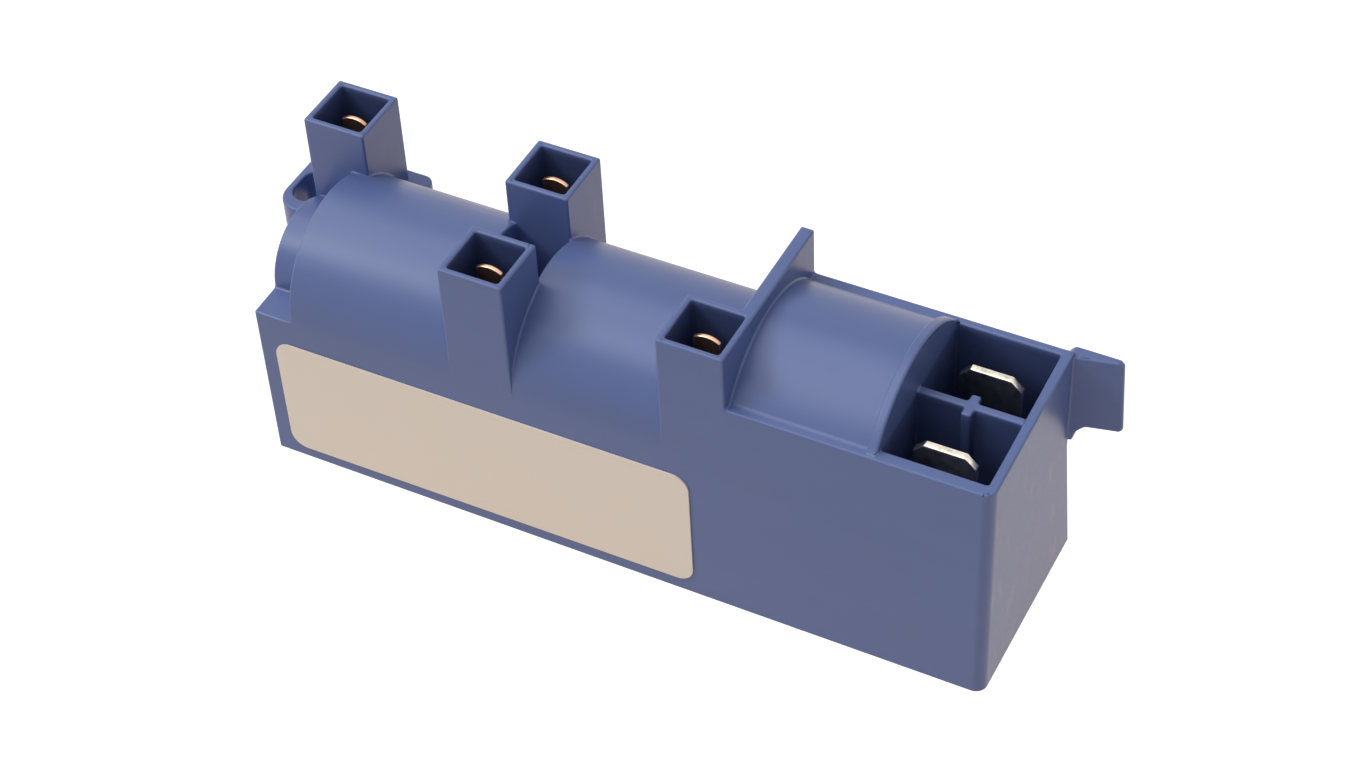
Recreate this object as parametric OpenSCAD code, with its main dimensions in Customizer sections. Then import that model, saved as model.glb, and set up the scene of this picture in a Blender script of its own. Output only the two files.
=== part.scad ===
// Gas stove ignition module: a potted spark generator with four outlets and a mains socket.
// The origin is the middle of the underside: x runs to the mains end, y to the back, z up from the foot.

/* [Housing] */
// Length of the moulded housing
body_l = 79.4; // [76:0.5:90]
// Depth of the housing above its spread foot
body_d = 19.8; // [19:0.1:21]
// How far the back spreads out at the foot
foot_spread = 2.5; // [0.5:0.1:3]
// Height at which the back starts to spread
spread_z = 15.4; // [12:0.2:15.8]
// Height of the left shoulder, which is also the height of the barrel's axis
axis_z = 19.2; // [17:0.2:20.6]
// Thickness of the housing walls
wall = 1.2; // [0.9:0.1:1.6]
// Radius of the upright corners at the right end
corner_r = 1.2; // [0.5:0.1:2]
// Radius of the upright corners at the left end
left_r = 0.2; // [0.1:0.1:1]
// Where the barrel starts, measured from the left end
barrel_x = 4.4; // [2:0.1:5]
// Radius of the small boss in front of the barrel's left end
boss_r = 5.9; // [4:0.1:7]

/* [Mains end] */
// Height of the front ledge at the mains end
ledge_z = 27.1; // [25:0.1:28.4]
// Height of the back rim at the mains end
rim_z = 28; // [26:0.1:29.4]
// How far the barrel is raised in radius at the mains end
mains_raise = 1.3; // [0.6:0.1:2]
// Height of that barrel's axis
mains_axis_z = 20.6; // [19:0.1:21.4]
// How far that barrel's axis stands behind the middle
mains_shift = 0.2; // [0:0.1:0.6]
// Length of the mains socket
pocket_l = 10.5; // [9:0.1:12]
// Height of the socket's floor
pocket_floor_z = 17.4; // [15:0.2:19]
// Thickness of the wall at the right end
end_wall = 1; // [0.8:0.1:1.4]
// Thickness of the socket's front wall
front_wall = 1.4; // [1:0.1:1.8]
// Thickness of the socket's back wall
back_wall = 0.9; // [0.7:0.1:1.2]
// Thickness of the lip round the socket's curved side
lip_t = 1; // [0.6:0.1:1.4]
// Height of that lip above the barrel
lip_h = 0.5; // [0.1:0.1:0.8]

/* [Divider] */
// Thickness of the divider in the socket
divider_t = 0.9; // [0.7:0.1:1.2]
// How far the divider stands behind the middle
divider_shift = 0; // [-0.8:0.1:0.6]
// How far the divider stays below the ledge's height, negative where it stands above
divider_drop = -0.3; // [-0.5:0.1:2]
// Width of the cross rib on the divider
rib_w = 2.8; // [2:0.1:4]
// Thickness of the cross rib
rib_t = 1; // [0.7:0.1:1.2]

/* [Outlets] */
// Outer width of an outlet tower
tower_w = 6.95; // [6.6:0.05:7.4]
// Wall of an outlet tower
tower_wall = 0.68; // [0.6:0.02:0.9]
// Height of the tower tops and of the fin
tower_z = 33.4; // [32:0.2:36]
// Distance from the left end to the middle of the first tower
first_x = 2.85; // [2:0.05:4]
// Distance between towers in one row
pitch = 23.05; // [22.5:0.05:24]
// How far the front row is shifted to the right
front_shift = 0.4; // [0:0.1:1]
// Distance from the back to the middle of the back row
back_row_in = 2.5; // [2:0.1:3]
// Height of the floors inside the towers
well_z = 21.9; // [20.5:0.2:23.5]
// Thickness of those floors
well_floor = 1.2; // [0.8:0.1:1.5]
// Height of the floor in the gap between the second and third towers
gap_floor_z = 19.2; // [18:0.1:20.4]
// Distance from the second tower's left side to that gap
gap_start = 0.9; // [0.5:0.1:2]
// Thickness of the fin across the housing
fin_t = 1.4; // [1:0.1:1.8]

/* [Corner collar] */
// How far the collar reaches out past the left end
collar_out = 4.6; // [4:0.1:6]
// Where the collar ends, measured from the left end
collar_x = 8.8; // [7:0.1:9]
// How far the collar reaches forward from the back
collar_front = 8.1; // [7:0.1:9]
// How far the collar reaches out past the back
collar_back = 2.2; // [1.5:0.1:3]
// Height of the collar's top
collar_z = 22.7; // [21:0.1:23.4]
// Height of the collar itself
collar_h = 3.5; // [3:0.1:6]
// Radius of the collar's corners
collar_r = 1.2; // [0.5:0.1:2]
// Radius of its front left corner
collar_front_r = 2.6; // [1:0.1:3]
// Width of the screw slot
slot_w = 3; // [2.6:0.1:3.2]
// Length of the screw slot
slot_l = 4.6; // [4:0.1:7]
// Wall left beside the screw slot
slot_wall = 0.8; // [0.6:0.1:1]
// Wall left in front of the screw slot
slot_front = 1.6; // [1:0.1:2]

/* [Side tab] */
// How far the tab reaches out past the right end
tab_out = 4.6; // [3:0.1:6]
// How far the tab runs back along the housing
tab_root = 0.8; // [0.5:0.1:3]
// How far the tab's rear face stands behind the housing
tab_t = 1.2; // [1:0.1:2]
// How far the tab's root reaches forward into the end wall
tab_sink = 0.5; // [0.2:0.1:1]
// Thickness of the tab at its tip
tab_tip = 0.6; // [0.4:0.1:1.2]
// How far the tab's top stays below the back rim
tab_step = 0.4; // [0:0.1:1]
// How far the tab's tip leans out at its lower end
tab_lean = 0.4; // [0:0.1:1]
// Height of the tab's outer edge
tab_h = 8.9; // [6:0.1:10]
// How far the tab's lower edge drops at its root
tab_drop = 2; // [0:0.1:4]

/* [Metal parts] */
// Width of a mains terminal
blade_w = 6.3; // [4.8:0.1:6.3]
// Thickness of a mains terminal
blade_t = 0.8; // [0.5:0.1:1]
// Height of the tops of the mains terminals
blade_z = 27; // [24:0.1:27.4]
// Distance from the front to the middle of the front terminal
blade_front = 4.05; // [3.5:0.05:5]
// Distance from the back to the middle of the back terminal
blade_back = 4.85; // [4:0.05:5]
// Cut corner at the top of a mains terminal
blade_cut = 1.1; // [0.5:0.1:1.5]
// How far a terminal's foot is narrowed at each side
blade_foot = 2; // [1:0.1:2.4]
// Width of an outlet pin
pin_w = 2.8; // [2:0.1:3]
// Thickness of an outlet pin
pin_t = 0.5; // [0.4:0.1:0.8]
// Height of the outlet pins' tops
pin_z = 32; // [28:0.1:32.4]
// How far the pins stand behind the middles of their towers
pin_back = 0.3; // [0:0.1:0.6]
// Gap round metal parts where they pass through plastic
slip = 0.05; // [0.02:0.01:0.1]

/* [Label] */
// Length of the label
label_l = 46.6; // [40:0.1:47]
// Height of the label
label_h = 14.6; // [10:0.1:15]
// Radius of the label's corners
label_r = 1.8; // [0.5:0.1:3]
// Thickness of the label
label_t = 0.15; // [0.1:0.05:0.3]
// Distance from the left end to the label
label_x = 2.1; // [1.6:0.1:4]
// Height of the label's lower edge in its middle
label_z = 1.5; // [0.8:0.1:2.4]
// Turn of the label, in degrees
label_turn = -0.2; // [-3:0.1:0]

/* [Circuit] */
// Height of the board's underside
board_z = 5; // [4:0.1:6]
// Thickness of the board
board_t = 1.6; // [0.8:0.1:1.6]
// Gap between the board's edges and the housing walls
board_gap = 0.4; // [0.2:0.1:1]
// How far the potting stays below the foot's edge
resin_gap = 0.8; // [0.4:0.1:1.5]
// Length of each transformer
coil_l = 13; // [11:0.1:13.2]
// Gap between the transformer's flanges and the barrel's wall
flange_gap = 1.6; // [1.2:0.1:2.5]
// Share of the flanges' diameter that the ferrite core takes
core_share = 0.36; // [0.3:0.01:0.4]
// Thickness of the primary winding
primary_t = 0.7; // [0.4:0.1:1]
// Wall of the bobbin's tube
bobbin_t = 0.8; // [0.6:0.1:1]
// Thickness of one bobbin flange
flange_t = 0.8; // [0.6:0.1:1]
// Chambers of the secondary winding
chambers = 4; // [3:1:5]
// How far the secondary winding stays inside the flanges
winding_margin = 0.4; // [0.2:0.1:1]
// Gap between the parts of a transformer
coil_gap = 0.1; // [0.05:0.01:0.15]
// Length of the storage capacitor
capacitor_l = 11; // [9:0.1:12]
// Width of the storage capacitor
capacitor_w = 8; // [6:0.1:8]
// Height of the storage capacitor
capacitor_h = 8.6; // [6:0.1:9]
// Gap between the storage capacitor and the transformer beside it
capacitor_gap = 0.8; // [0.5:0.1:2]
// Distance from the inner walls to the middles of the parts with leads
lead_row = 3; // [2.5:0.1:4]

/* [Hidden] */

big_fn = 96;
small_fn = 32;
over = 1;

mid_x = (body_l + tab_out + tab_lean - collar_out) / 2;
mid_y = (body_d + max(foot_spread, collar_back) - label_t) / 2;

blue = [0.38, 0.43, 0.60];
copper = [0.85, 0.52, 0.33];
tin = [0.80, 0.78, 0.72];

barrel_r = body_d / 2;
barrel_y = body_d / 2;
mains_r = barrel_r + mains_raise;
mains_axis_y = barrel_y + mains_shift;
divider_y = barrel_y + divider_shift;
back_row_y = body_d - back_row_in;
collar_y = body_d - collar_front;
collar_d = collar_front + collar_back;
front_row_y = tower_w / 2;
back_row_x = [first_x, first_x + pitch];
front_row_x = [first_x + pitch + front_shift, first_x + 2 * pitch + front_shift];
towers = [
    [back_row_x[0], back_row_y], [back_row_x[1], back_row_y],
    [front_row_x[0], front_row_y], [front_row_x[1], front_row_y]
];
fin_x = front_row_x[1] + tower_w / 2 - fin_t;
mains_x = fin_x + fin_t;
pocket_x = body_l - end_wall - pocket_l;
pocket_d = body_d - front_wall - back_wall;
pocket_mid_x = pocket_x + pocket_l / 2;
divider_z = ledge_z - divider_drop;
blade_rows = [blade_front, body_d - blade_back];
cavity_top_z = pocket_floor_z - wall;
coil_x = [(back_row_x[0] + back_row_x[1] - coil_l) / 2, (front_row_x[0] + front_row_x[1] - coil_l) / 2];
coil_z = axis_z - 1;
flange_r = barrel_r - wall - flange_gap;
core_r = core_share * flange_r;
tube_in_r = core_r + primary_t + 2 * coil_gap;
tube_out_r = tube_in_r + bobbin_t;
secondary_r = flange_r - winding_margin;
board_top_z = board_z + board_t;
pin_low_z = axis_z - wall - 1.5;
capacitor_x = coil_x[1] + coil_l + capacitor_gap;
lead_rows = [wall + lead_row, body_d - wall - lead_row];
switch_r = 1.5;
capacitor_mid_y = lead_rows[1] - switch_r - 0.3 - capacitor_w / 2;

// A side profile, drawn as y and z, carried along x
module along_x(from, to) {
    translate([from, 0, 0]) rotate([90, 0, 90]) linear_extrude(to - from) children();
}

// A front profile, drawn as x and z, carried back along y
module along_y(from, to) {
    translate([0, to, 0]) rotate([90, 0, 0]) linear_extrude(to - from) children();
}

module rounded_rect(size, r) {
    translate([r, 0]) square([size[0] - 2 * r, size[1]]);
    translate([0, r]) square([size[0], size[1] - 2 * r]);
    for (x = [r, size[0] - r], y = [r, size[1] - r]) translate([x, y]) circle(r, $fn = small_fn);
}

// Plan of the housing, sharper at its left corners
module body_plan(depth) {
    half = body_l / 2 + corner_r;
    rounded_rect([half, depth], left_r);
    translate([body_l - half, 0]) rounded_rect([half, depth], corner_r);
}

// Box below the shoulder, with its back spreading to the foot
module foot_block() {
    intersection() {
        along_x(0, body_l) polygon([
            [0, 0], [body_d + foot_spread, 0], [body_d, spread_z], [body_d, axis_z], [0, axis_z]
        ]);
        linear_extrude(axis_z) body_plan(body_d + foot_spread + corner_r);
    }
}

module barrel_profile(r) {
    translate([barrel_y, axis_z]) circle(r, $fn = big_fn);
}

module mains_profile(r) {
    intersection() {
        translate([mains_axis_y, mains_axis_z]) circle(r, $fn = big_fn);
        square([body_d, tower_z]);
    }
}

// Block of the mains end, with its sloping rim and rounded front ledge
module mains_block() {
    intersection() {
        along_x(mains_x - fin_t, body_l) polygon([
            [0, axis_z - over], [body_d, axis_z - over], [body_d, rim_z], [0, ledge_z]
        ]);
        linear_extrude(tower_z) body_plan(body_d + corner_r);
    }
}

module tower_outer(at, floor_z) {
    translate([at[0] - tower_w / 2, at[1] - tower_w / 2, floor_z])
        cube([tower_w, tower_w, tower_z - floor_z]);
}

module tower_bore(at) {
    bore = tower_w - 2 * tower_wall;
    translate([at[0] - bore / 2, at[1] - bore / 2, well_z]) cube([bore, bore, tower_z - well_z + over]);
}

module fin() {
    translate([fin_x, tower_w / 2, axis_z - over])
        cube([fin_t, body_d - tower_w / 2, tower_z - axis_z + over]);
}

// Gap through the barrel between the second and third towers, grown by a margin
module tower_gap(margin) {
    x = [back_row_x[1] - tower_w / 2 + gap_start, back_row_x[1] + tower_w / 2];
    y = [front_row_y + tower_w / 2, back_row_y - tower_w / 2];
    translate([x[0] - margin, y[0] - margin, gap_floor_z - margin])
        cube([x[1] - x[0] + 2 * margin, y[1] - y[0] + 2 * margin, tower_z]);
}

// Rounded sleeve round the foot of the first tower, with its screw slot
module collar() {
    size = [collar_out + collar_x, collar_d];
    translate([-collar_out, collar_y, collar_z - collar_h]) linear_extrude(collar_h) intersection() {
        rounded_rect(size, collar_r);
        rounded_rect(2 * size, collar_front_r);
    }
}

module screw_slot() {
    end_r = slot_w / 2;
    x = -collar_out + slot_wall + end_r;
    y = collar_y + slot_front + end_r;
    low_z = collar_z - collar_h - over;
    deep = collar_h + 2 * over;
    translate([x, y, low_z]) cylinder(h = deep, r = end_r, $fn = small_fn);
    translate([x, y + slot_l - slot_w, low_z]) cylinder(h = deep, r = end_r, $fn = small_fn);
    translate([x - end_r, y, low_z]) cube([slot_w, slot_l - slot_w, deep]);
}

// Tab at the back of the right end, thinner at its tip, with a small notch under its root
module side_tab() {
    root_x = body_l - tab_root;
    out_x = body_l + tab_out;
    rear_y = body_d + tab_t;
    root_y = body_d - tab_sink;
    top_z = rim_z - tab_step;
    low_z = top_z - tab_h;
    low_x = out_x + tab_lean;
    intersection() {
        along_y(root_y - over, rear_y + over) polygon([
            [root_x, top_z - 0.5], [root_x + 0.5, top_z], [out_x - 0.4, top_z], [out_x, top_z - 0.4],
            [low_x, low_z + 0.3], [low_x - 0.3, low_z], [body_l + 1.5, low_z],
            [body_l + 0.7, low_z - 0.4 * tab_drop], [body_l + 0.4, low_z - tab_drop],
            [root_x, low_z - tab_drop]
        ]);
        linear_extrude(tower_z) polygon([
            [root_x, root_y], [body_l, root_y], [low_x, rear_y - tab_tip], [low_x, rear_y], [root_x, rear_y]
        ]);
    }
}

module outer_form() {
    foot_block();
    along_x(barrel_x, mains_x) barrel_profile(barrel_r);
    along_x(0, barrel_x + over) barrel_profile(boss_r);
    mains_block();
    along_x(mains_x - over, pocket_x) mains_profile(mains_r);
    along_x(pocket_x - lip_t, pocket_x) mains_profile(mains_r + lip_h);
    for (at = towers) tower_outer(at, axis_z - over);
    fin();
    collar();
    side_tab();
}

// Shifts the middle of the underside to the origin
module place() {
    translate([-mid_x, -mid_y, 0]) children();
}

// Space inside the housing, open at the foot and filled with potting
module cavity(low_z) {
    difference() {
        union() {
            along_x(wall, body_l - end_wall) polygon([
                [wall, low_z], [body_d - wall + foot_spread * (1 - low_z / spread_z), low_z],
                [body_d - wall, spread_z], [body_d - wall, cavity_top_z], [wall, cavity_top_z]
            ]);
            translate([wall, wall, low_z])
                cube([mains_x - 2 * wall, body_d - 2 * wall, axis_z - wall - low_z]);
            along_x(barrel_x + wall, mains_x - wall) barrel_profile(barrel_r - wall);
            along_x(mains_x - over, pocket_x - wall) intersection() {
                mains_profile(mains_r - wall);
                translate([wall, 0]) square([body_d - 2 * wall, tower_z]);
            }
        }
        for (at = towers) tower_outer(at, well_z - well_floor);
        translate([-over, -over, axis_z]) cube([barrel_x + wall + over, body_d + 2 * over, tower_z]);
        tower_gap(wall);
    }
}

module pocket() {
    difference() {
        translate([pocket_x, front_wall, pocket_floor_z]) cube([pocket_l, pocket_d, tower_z]);
        translate([pocket_x - over, divider_y - divider_t / 2, pocket_floor_z - over])
            cube([pocket_l + 2 * over, divider_t, divider_z - pocket_floor_z + over]);
        translate([pocket_mid_x - rib_t / 2, divider_y - rib_w / 2, pocket_floor_z - over])
            cube([rib_t, rib_w, divider_z - pocket_floor_z + over]);
    }
}

// Slot for an outlet pin through the floor of its tower
module pin_slot(at) {
    translate([at[0] - pin_w / 2 - slip, at[1] + pin_back - pin_t / 2 - slip, pin_low_z])
        cube([pin_w + 2 * slip, pin_t + 2 * slip, well_z - pin_low_z + over]);
}

module blade_slot(y) {
    translate([pocket_mid_x - blade_w / 2 - slip, y - blade_t / 2 - slip, cavity_top_z - over])
        cube([blade_w + 2 * slip, blade_t + 2 * slip, wall + 2 * over]);
}

module housing() {
    color(blue) place() difference() {
        outer_form();
        cavity(-over);
        for (at = towers) {
            tower_bore(at);
            pin_slot(at);
        }
        tower_gap(0);
        pocket();
        for (y = blade_rows) blade_slot(y);
        screw_slot();
    }
}

module label() {
    color([0.83, 0.77, 0.72]) place() translate([label_x + label_l / 2, 0, label_z + label_h / 2])
        rotate([90, label_turn, 0]) linear_extrude(label_t) translate([-label_l / 2, -label_h / 2])
            rounded_rect([label_l, label_h], label_r);
}

// Flat blade terminal, from its foot in the board to its cut corners
module mains_terminal(y) {
    color(tin) place() blade_shape(y);
}

module blade_shape(y) {
    half = blade_w / 2;
    foot = half - blade_foot;
    translate([pocket_mid_x, 0, 0]) along_y(y - blade_t / 2, y + blade_t / 2) polygon([
        [-half, board_top_z + 2], [-foot, board_top_z + 1], [-foot, board_z], [foot, board_z],
        [foot, board_top_z + 1], [half, board_top_z + 2], [half, blade_z - blade_cut],
        [half - blade_cut, blade_z], [-half + blade_cut, blade_z], [-half, blade_z - blade_cut]
    ]);
}

module mains_terminal_front() {
    mains_terminal(blade_rows[0]);
}

module mains_terminal_back() {
    mains_terminal(blade_rows[1]);
}

// Flat outlet pin with an arched top
module outlet_pin(at) {
    color(copper) place() pin_shape(at);
}

module pin_shape(at) {
    arch_r = pin_w * 0.8;
    y = at[1] + pin_back;
    translate([at[0], 0, 0]) along_y(y - pin_t / 2, y + pin_t / 2) intersection() {
        translate([-pin_w / 2, pin_low_z]) square([pin_w, pin_z - pin_low_z]);
        union() {
            translate([0, pin_z - arch_r]) circle(arch_r, $fn = small_fn);
            translate([-pin_w / 2, 0]) square([pin_w, pin_z - arch_r]);
        }
    }
}

module outlet_pin_1() {
    outlet_pin(towers[0]);
}

module outlet_pin_2() {
    outlet_pin(towers[1]);
}

module outlet_pin_3() {
    outlet_pin(towers[2]);
}

module outlet_pin_4() {
    outlet_pin(towers[3]);
}

module disc(x, r, t) {
    translate([x, barrel_y, coil_z]) rotate([0, 90, 0]) cylinder(h = t, r = r, $fn = small_fn);
}

module ring(x, r_out, r_in, t) {
    difference() {
        disc(x, r_out, t);
        disc(x - over, r_in, t + 2 * over);
    }
}

module ferrite_core(x) {
    color([0.22, 0.22, 0.24]) place() disc(x, core_r, coil_l);
}

module primary_winding(x) {
    r = core_r + coil_gap;
    color(copper) place() ring(x + flange_t, r + primary_t, r, coil_l - 2 * flange_t);
}

// Sectioned bobbin: a tube with flanges between its winding chambers
module bobbin(x) {
    step = (coil_l - flange_t) / chambers;
    color([0.86, 0.84, 0.78]) place() difference() {
        union() {
            disc(x, tube_out_r, coil_l);
            for (i = [0:chambers]) disc(x + i * step, flange_r, flange_t);
        }
        disc(x - over, tube_in_r, coil_l + 2 * over);
    }
}

module secondary_winding(x) {
    step = (coil_l - flange_t) / chambers;
    color([0.70, 0.36, 0.20]) place() for (i = [0:chambers - 1])
        ring(x + i * step + flange_t, secondary_r, tube_out_r, step - flange_t);
}

module ferrite_core_left() {
    ferrite_core(coil_x[0]);
}

module ferrite_core_right() {
    ferrite_core(coil_x[1]);
}

module bobbin_left() {
    bobbin(coil_x[0]);
}

module bobbin_right() {
    bobbin(coil_x[1]);
}

module primary_winding_left() {
    primary_winding(coil_x[0]);
}

module primary_winding_right() {
    primary_winding(coil_x[1]);
}

module secondary_winding_left() {
    secondary_winding(coil_x[0]);
}

module secondary_winding_right() {
    secondary_winding(coil_x[1]);
}

module board_outline() {
    translate([wall + board_gap, wall + board_gap])
        square([body_l - wall - end_wall - 2 * board_gap, body_d - 2 * wall - 2 * board_gap]);
}

module board_solid() {
    translate([0, 0, board_z]) linear_extrude(board_t) board_outline();
}

module circuit_board() {
    color([0.62, 0.50, 0.28]) place() difference() {
        board_solid();
        foot_w = blade_w - 2 * blade_foot + 2 * slip;
        for (y = blade_rows) translate([pocket_mid_x - foot_w / 2, y - blade_t / 2 - slip, 0])
            cube([foot_w, blade_t + 2 * slip, axis_z]);
        for (part = axial_parts) for (end = [-1, 1])
            translate([part[0] + end * lead_reach, part[1], 0])
                cylinder(h = axis_z, r = lead_r + slip, $fn = small_fn);
    }
}

// Parts with a lead at each end: place of the middle, body length and body radius
lead_r = 0.4;
lead_reach = 5;
lead_lift = 1.8;
resistor_l = 6.5;
input_r = 1.4;
bleed_r = 1.6;
diode_l = 5;
diode_r = 1.3;
switch_l = 5.5;
left_part_x = 8;
middle_part_x = 33;
right_part_x = 49;
axial_z = board_top_z + lead_lift;
axial_parts = [
    [left_part_x, lead_rows[0], resistor_l, input_r], [left_part_x, lead_rows[1], diode_l, diode_r],
    [middle_part_x, lead_rows[0], resistor_l, bleed_r], [middle_part_x, lead_rows[1], diode_l, diode_r],
    [right_part_x, lead_rows[1], switch_l, switch_r]
];

module axial_part(part) {
    translate([part[0] - part[2] / 2, part[1], axial_z]) rotate([0, 90, 0])
        cylinder(h = part[2], r = part[3], $fn = small_fn);
    translate([part[0] - lead_reach - lead_r, part[1], axial_z]) rotate([0, 90, 0])
        cylinder(h = 2 * (lead_reach + lead_r), r = lead_r, $fn = small_fn);
    for (end = [-1, 1]) translate([part[0] + end * lead_reach, part[1], board_z])
        cylinder(h = axial_z - board_z, r = lead_r, $fn = small_fn);
}

module input_resistor() {
    color([0.75, 0.70, 0.55]) place() axial_part(axial_parts[0]);
}

module rectifier_diode() {
    color([0.15, 0.15, 0.16]) place() axial_part(axial_parts[1]);
}

module bleed_resistor() {
    color([0.45, 0.60, 0.70]) place() axial_part(axial_parts[2]);
}

module blocking_diode() {
    color([0.15, 0.15, 0.16]) place() axial_part(axial_parts[3]);
}

module spark_gap_switch() {
    color([0.75, 0.75, 0.78]) place() axial_part(axial_parts[4]);
}

module capacitor_block() {
    translate([capacitor_x, capacitor_mid_y - capacitor_w / 2, board_top_z])
        along_x(0, capacitor_l) rounded_rect([capacitor_w, capacitor_h], 0.8);
}

module storage_capacitor() {
    color([0.72, 0.18, 0.14]) place() capacitor_block();
}

// Potting that fills the housing round the circuit
module potting_resin() {
    color([0.16, 0.16, 0.18]) place() difference() {
        cavity(resin_gap);
        board_solid();
        for (x = coil_x) disc(x, flange_r, coil_l);
        for (part = axial_parts) axial_part(part);
        for (at = towers) pin_shape(at);
        for (y = blade_rows) blade_shape(y);
        capacitor_block();
    }
}

housing();
label();
mains_terminal_front();
mains_terminal_back();
outlet_pin_1();
outlet_pin_2();
outlet_pin_3();
outlet_pin_4();
circuit_board();
potting_resin();
ferrite_core_left();
ferrite_core_right();
bobbin_left();
bobbin_right();
primary_winding_left();
primary_winding_right();
secondary_winding_left();
secondary_winding_right();
storage_capacitor();
rectifier_diode();
blocking_diode();
input_resistor();
bleed_resistor();
spark_gap_switch();
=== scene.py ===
"""Gas stove ignition module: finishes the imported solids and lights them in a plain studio.

Lengths in the classes below are in millimetres in the frame of the solids, and become metres in the meshes.
"""

from __future__ import annotations

import logging
import math
from dataclasses import dataclass, field
from enum import Enum
from functools import cache
from typing import Any

import bmesh
import bpy
import numpy as np
from mathutils import Matrix, Vector
from mathutils.bvhtree import BVHTree


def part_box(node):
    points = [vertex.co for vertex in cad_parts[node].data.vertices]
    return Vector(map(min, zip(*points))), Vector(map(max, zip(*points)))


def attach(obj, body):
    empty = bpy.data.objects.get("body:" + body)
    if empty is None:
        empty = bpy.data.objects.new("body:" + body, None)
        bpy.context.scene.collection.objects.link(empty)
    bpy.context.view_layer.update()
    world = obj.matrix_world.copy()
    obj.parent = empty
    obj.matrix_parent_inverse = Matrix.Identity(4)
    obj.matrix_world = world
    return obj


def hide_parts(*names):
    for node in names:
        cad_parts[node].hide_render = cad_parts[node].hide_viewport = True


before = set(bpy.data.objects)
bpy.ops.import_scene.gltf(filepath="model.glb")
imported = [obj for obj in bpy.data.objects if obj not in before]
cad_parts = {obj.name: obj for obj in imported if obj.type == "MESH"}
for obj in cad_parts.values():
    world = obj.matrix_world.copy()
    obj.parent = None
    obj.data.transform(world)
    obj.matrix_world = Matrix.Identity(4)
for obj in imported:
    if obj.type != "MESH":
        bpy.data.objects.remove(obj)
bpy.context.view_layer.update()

LOG = logging.getLogger("ignition_module")
MM = 0.001
ROOT = "root"

Colour = tuple[float, float, float]


# ---------------------------------------------------------------------------------------------------------------
# Shader graphs
# ---------------------------------------------------------------------------------------------------------------


class Value:
    """A number that flows through a shader graph, written with Python's own operators."""

    def __init__(self, graph: "Graph", socket: bpy.types.NodeSocket) -> None:
        """Wraps a socket.

        Args:
            graph: the graph that new nodes are added to.
            socket: the output socket that carries the number.
        """
        self.graph = graph
        self.socket = socket

    def _maths(self, operation: str, first: Any, second: Any = None) -> "Value":
        """Adds one Math node.

        Args:
            operation: Blender's name of the operation.
            first: first operand, a number or a Value.
            second: second operand, if the operation takes one.

        Returns:
            The node's result.
        """
        inputs = {0: first} if second is None else {0: first, 1: second}
        return self.graph.node("ShaderNodeMath", {"operation": operation}, inputs).out()

    def __add__(self, other: Any) -> "Value":
        """Sum."""
        return self._maths("ADD", self, other)

    __radd__ = __add__

    def __sub__(self, other: Any) -> "Value":
        """Difference."""
        return self._maths("SUBTRACT", self, other)

    def __rsub__(self, other: Any) -> "Value":
        """Difference, the other way round."""
        return self._maths("SUBTRACT", other, self)

    def __mul__(self, other: Any) -> "Value":
        """Product."""
        return self._maths("MULTIPLY", self, other)

    __rmul__ = __mul__

    def __truediv__(self, other: Any) -> "Value":
        """Quotient."""
        return self._maths("DIVIDE", self, other)

    def __rtruediv__(self, other: Any) -> "Value":
        """Quotient, the other way round."""
        return self._maths("DIVIDE", other, self)

    def __pow__(self, other: Any) -> "Value":
        """Power."""
        return self._maths("POWER", self, other)

    def __neg__(self) -> "Value":
        """Negative."""
        return self._maths("MULTIPLY", self, -1.0)

    def __abs__(self) -> "Value":
        """Size without the sign."""
        return self._maths("ABSOLUTE", self)

    def sine(self) -> "Value":
        """Sine of the value in radians."""
        return self._maths("SINE", self)

    def clamped(self) -> "Value":
        """The value kept between 0 and 1."""
        return self.graph.node("ShaderNodeClamp", {}, {"Value": self}).out()

    def greater(self, other: Any) -> "Value":
        """1 where the value is greater than the other, else 0."""
        return self._maths("GREATER_THAN", self, other)

    def maximum(self, other: Any) -> "Value":
        """The greater of two values."""
        return self._maths("MAXIMUM", self, other)

    def step(self, low: float, high: float) -> "Value":
        """A smooth step from 0 at low to 1 at high."""
        ramp = {"interpolation_type": "SMOOTHSTEP"}
        return self.graph.node("ShaderNodeMapRange", ramp, {"Value": self, "From Min": low, "From Max": high}).out()


@dataclass
class Made:
    """A node with its graph, so that its outputs come back as Values."""

    graph: "Graph"
    node: bpy.types.Node

    def out(self, name: int | str = 0) -> Value:
        """The output of that name or number."""
        return Value(self.graph, self.node.outputs[name])


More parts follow.
